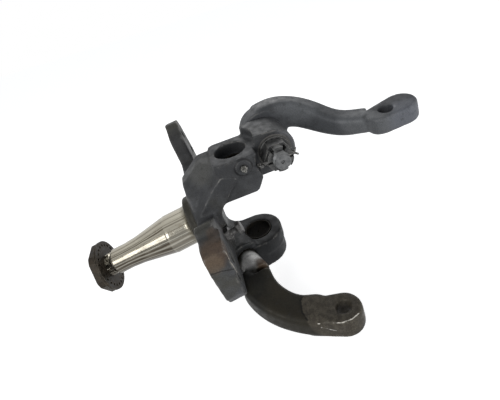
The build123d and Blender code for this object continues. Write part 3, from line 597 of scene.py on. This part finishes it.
# tones of the spindle's painted reflection bands
cream = (0.52, 0.49, 0.41)
middle, grey, deep = (0.34, 0.32, 0.26), (0.12, 0.113, 0.095), (0.04, 0.036, 0.030)
painted_reflection_bands = [
    (0.0, cream), (0.17, middle), (0.23, grey), (0.40, deep), (0.55, middle), (0.75, cream), (0.95, cream),
]
finishes = {
    knuckle: forged_steel(
        "knuckle_scale", (0.038, 0.039, 0.041), (0.068, 0.070, 0.074), olive, olive_side,
        [
            # painted shade: the dark patches at (-15, 22, 98), (-75, 112, 87) and (-78, -108, 38) on top
            # faces
            ((-15, 22, 98), 32, (0.024, 0.025, 0.027), 0.8), ((-75, 112, 87), 40, (0.028, 0.028, 0.029), 0.7),
            # painted light: the pale patches at (-58, -1, 82) and (100, -22, 85) on upward faces
            ((-58, -1, 82), 26, (0.085, 0.085, 0.081), 0.7), ((100, -22, 85), 24, (0.125, 0.127, 0.134), 0.8),
            # (32, -9, -78): the lower boss top darkened as oily steel and as painted shade under the upper
            # arm
            ((32, -9, -78), 34, oily_shade, 0.8), ((-78, -108, 38), 14, (0.026, 0.026, 0.024), 0.6),
            ((-74, -140, 26), 22, rust, 0.7), ((-78, -150, 14), 14, rust_pale, 0.6),
            ((-66, -112, 35), 10, rust, 0.4),
        ],
        trails=[
            # painted shade: a dark line across the rear ear's end
            ([(-89, -153, 2), (-71, -154, 1), (-53, -154, -4)], 1.3, (0.014, 0.013, 0.012), 0.8),
            # worn edges with a painted highlight along the rear ear's inboard edge, in two runs
            ([(-57, -130, 36), (-57, -145, 28), (-55, -152, 8), (-52, -153, -14)], 0.9, worn_edge_highlight, 0.8),
            ([(-57, -93, 44), (-57.5, -106, 35)], 0.9, (0.36, 0.33, 0.28), 0.7),
        ],
        extra=knuckle_marks, sheen=0.19,
    ),
    steering_arm: forged_steel(
        "steering_arm_scale", (0.038, 0.040, 0.044), (0.070, 0.073, 0.078), (0.052, 0.055, 0.060),
        patches=[
            # painted sheen: the pale bluish patches on the arm's upward faces
            ((152, 50, 112), 34, (0.105, 0.110, 0.116), 0.7), ((225, -10, 70), 30, painted_sheen_blue, 0.7),
            ((246, -42, 62), 30, painted_sheen_blue, 0.7), ((305, -54, 62), 36, (0.130, 0.138, 0.158), 0.75),
        ],
    ),
    tie_rod_arm: forged_steel(
        # near-black base: oily steel, darkened further as painted shade under the upper parts
        "tie_rod_arm_scale", (0.007, 0.007, 0.006), (0.018, 0.017, 0.013), (0.022, 0.019, 0.013),
        patches=[((-30, -71, -75), 18, (0.68, 0.67, 0.65), 0.95), ((-14, -86, -78), 12, rust, 0.85)],
        wear=(0.30, 0.28, 0.24),
        trails=[
            # bare edges and scratches on the pad, with a painted highlight along them
            ([(30, -195, -126), (62, -210, -124.5), (78, -212, -123.5), (91, -208, -123.5)], 0.9, bared_edge_highlight, 0.9),
            ([(33, -198, -133), (44, -203, -138), (52, -207, -140)], 0.8, (0.55, 0.53, 0.50), 0.8),
            # painted shade along the die crease
            ([(29, -147, -116), (20, -156, -112), (15, -175, -114), (17, -188, -118)], 1.8, crease, 0.9),
        ],
        extra=pad_tone, sheen=0.14,
    ),
    spindle: ground_steel("spindle_ground_steel", painted_reflection_bands),
}
fine_bevel = 0.0003
dark_steel = small_steel(
    "nut_steel", (0.030, 0.031, 0.032), (0.085, 0.085, 0.083), 0.42, 0.6, (0.30, 0.29, 0.27),
)
stud_steel = small_steel(
    "stud_steel", (0.085, 0.088, 0.090), (0.15, 0.152, 0.152), 0.45, 0.5, (0.30, 0.30, 0.29),
    grain=500.0, bevel=fine_bevel,
)
stop_steel = small_steel(
    "stop_bolt_steel", (0.085, 0.083, 0.080), (0.19, 0.185, 0.18), 0.45, 0.5, (0.36, 0.35, 0.32),
    threads=(stop_place, stop_axis, stop_pitch),
)
plated = small_steel(
    "fitting_plate", (0.10, 0.098, 0.090), (0.24, 0.235, 0.22), 0.35, 0.9, (0.45, 0.44, 0.42),
    bevel=fine_bevel,
)
wire = small_steel(
    "cotter_wire", (0.075, 0.074, 0.072), (0.20, 0.195, 0.185), 0.38, 0.9, (0.40, 0.39, 0.37),
    bevel=fine_bevel,
)
bronze = small_steel(
    "bushing_bronze", (0.003, 0.003, 0.002), (0.012, 0.010, 0.007), 0.5, 0.2, (0.07, 0.06, 0.045),
    bevel=0.0004, sheen=0.08,
)
oxide = small_steel(
    "oxidised_steel", (0.014, 0.011, 0.007), (0.045, 0.036, 0.026), 0.52, 0.35, (0.22, 0.19, 0.15),
    grain=900.0, sheen=0.2,
)
finishes |= {steering_stud: stud_steel, tie_stud: stud_steel}
for name, material in {
    "steering_arm_nut": dark_steel, "steering_arm_washer": dark_steel, "tie_rod_arm_nut": dark_steel,
    "steering_arm_key": dark_steel, "tie_rod_arm_key": dark_steel,
    "steering_arm_cotter_pin": wire, "tie_rod_arm_cotter_pin": wire,
    "stop_bolt": stop_steel, "stop_bolt_jam_nut": stop_steel,
    "grease_fitting_upper": plated, "grease_fitting_lower": plated,
    "grease_ball_upper": plated, "grease_ball_lower": plated,
    "kingpin_bushing_upper": bronze, "kingpin_bushing_lower": bronze,
    "spindle_lock_ring": oxide, "spindle_nut": oxide,
}.items():
    finishes[nodes[name]] = material
for piece, material in finishes.items():
    piece.data.materials.clear()
    piece.data.materials.append(material)


# ---- floor, light and camera ----
def white_ground():
    """Pale floor that camera and mirror rays see as white, with the shadow kept."""
    s = Shader(bpy.data.materials.new("floor_paper"))
    plain = s.add("BsdfDiffuse", {"Color": (0.55, 0.55, 0.55, 1)}).outputs[0]
    bright = s.add("BsdfDiffuse", {"Color": (0.80, 0.80, 0.80, 1)}).outputs[0]
    glow = s.add("Emission", {"Color": (1, 1, 1, 1), "Strength": 0.75}).outputs[0]
    lit = s.add("AddShader", {0: bright, 1: glow}).outputs[0]
    return s.finish(s.add("MixShader", {0: s.seen(), 1: plain, 2: lit}).outputs[0])


def studio_world():
    """Soft even light, white where it is seen."""
    s = Shader(bpy.data.worlds.new("studio"))
    soft = s.add("Background", {"Color": (0.93, 0.96, 1.0, 1), "Strength": 0.32}).outputs[0]
    white = s.add("Background", {"Color": (1, 1, 1, 1), "Strength": 1.0}).outputs[0]
    return s.finish(s.add("MixShader", {0: s.seen(), 1: soft, 2: white}).outputs[0], "OutputWorld")


floor_mesh = bpy.data.meshes.new("floor")
reach, level = 6.0, cad_box[0].z - 0.002
corners = [(-reach, -reach, level), (reach, -reach, level), (reach, reach, level), (-reach, reach, level)]
floor_mesh.from_pydata(corners, [], [(0, 1, 2, 3)])
floor = bpy.data.objects.new("floor", floor_mesh)
scene.collection.objects.link(floor)
floor_mesh.materials.append(white_ground())

scene.world = studio_world()


def lamp(name, place, width, power):
    """Round lamp that faces the origin."""
    data = bpy.data.lights.new(name, "AREA")
    data.shape, data.size, data.energy, data.specular_factor = "DISK", width, power, 0.25
    light = bpy.data.objects.new(name, data)
    scene.collection.objects.link(light)
    light.location = place
    light.rotation_euler = Vector(place).to_track_quat("Z", "Y").to_euler()


lamp("key", (-1.2, -1.3, 0.7), 0.8, 15)
lamp("fill", (1.3, -1.5, 0.1), 0.9, 15)
lamp("back", (0.3, 1.3, 0.8), 0.9, 4)

# the photo's camera, solved from the round features
view_right = Vector((0.92928075, -0.25961380, -0.26275077))
view_up = Vector((0.34776599, 0.37520442, 0.85923249))
view_back = Vector((-0.12448336, -0.88984399, 0.43895509))
camera_place = mm(-15.678, -538.695, 357.771)
focal_pixels, centre_x, centre_y = 354.98, 263.42, 140.41
frame_width, frame_height = 500, 400
camera_data = bpy.data.cameras.new("camera")
camera = bpy.data.objects.new("camera", camera_data)
scene.collection.objects.link(camera)
scene.camera = camera
turned_view = Matrix((view_right, view_up, view_back)).transposed().to_4x4()
camera.matrix_world = Matrix.Translation(camera_place) @ turned_view
camera_data.sensor_width = 36
camera_data.lens = focal_pixels / frame_width * camera_data.sensor_width
camera_data.shift_x = (frame_width / 2 - centre_x) / frame_width
camera_data.shift_y = (centre_y - frame_height / 2) / frame_width
camera_data.clip_start, camera_data.clip_end = 0.01, 50
scene.view_settings.view_transform = "Standard"
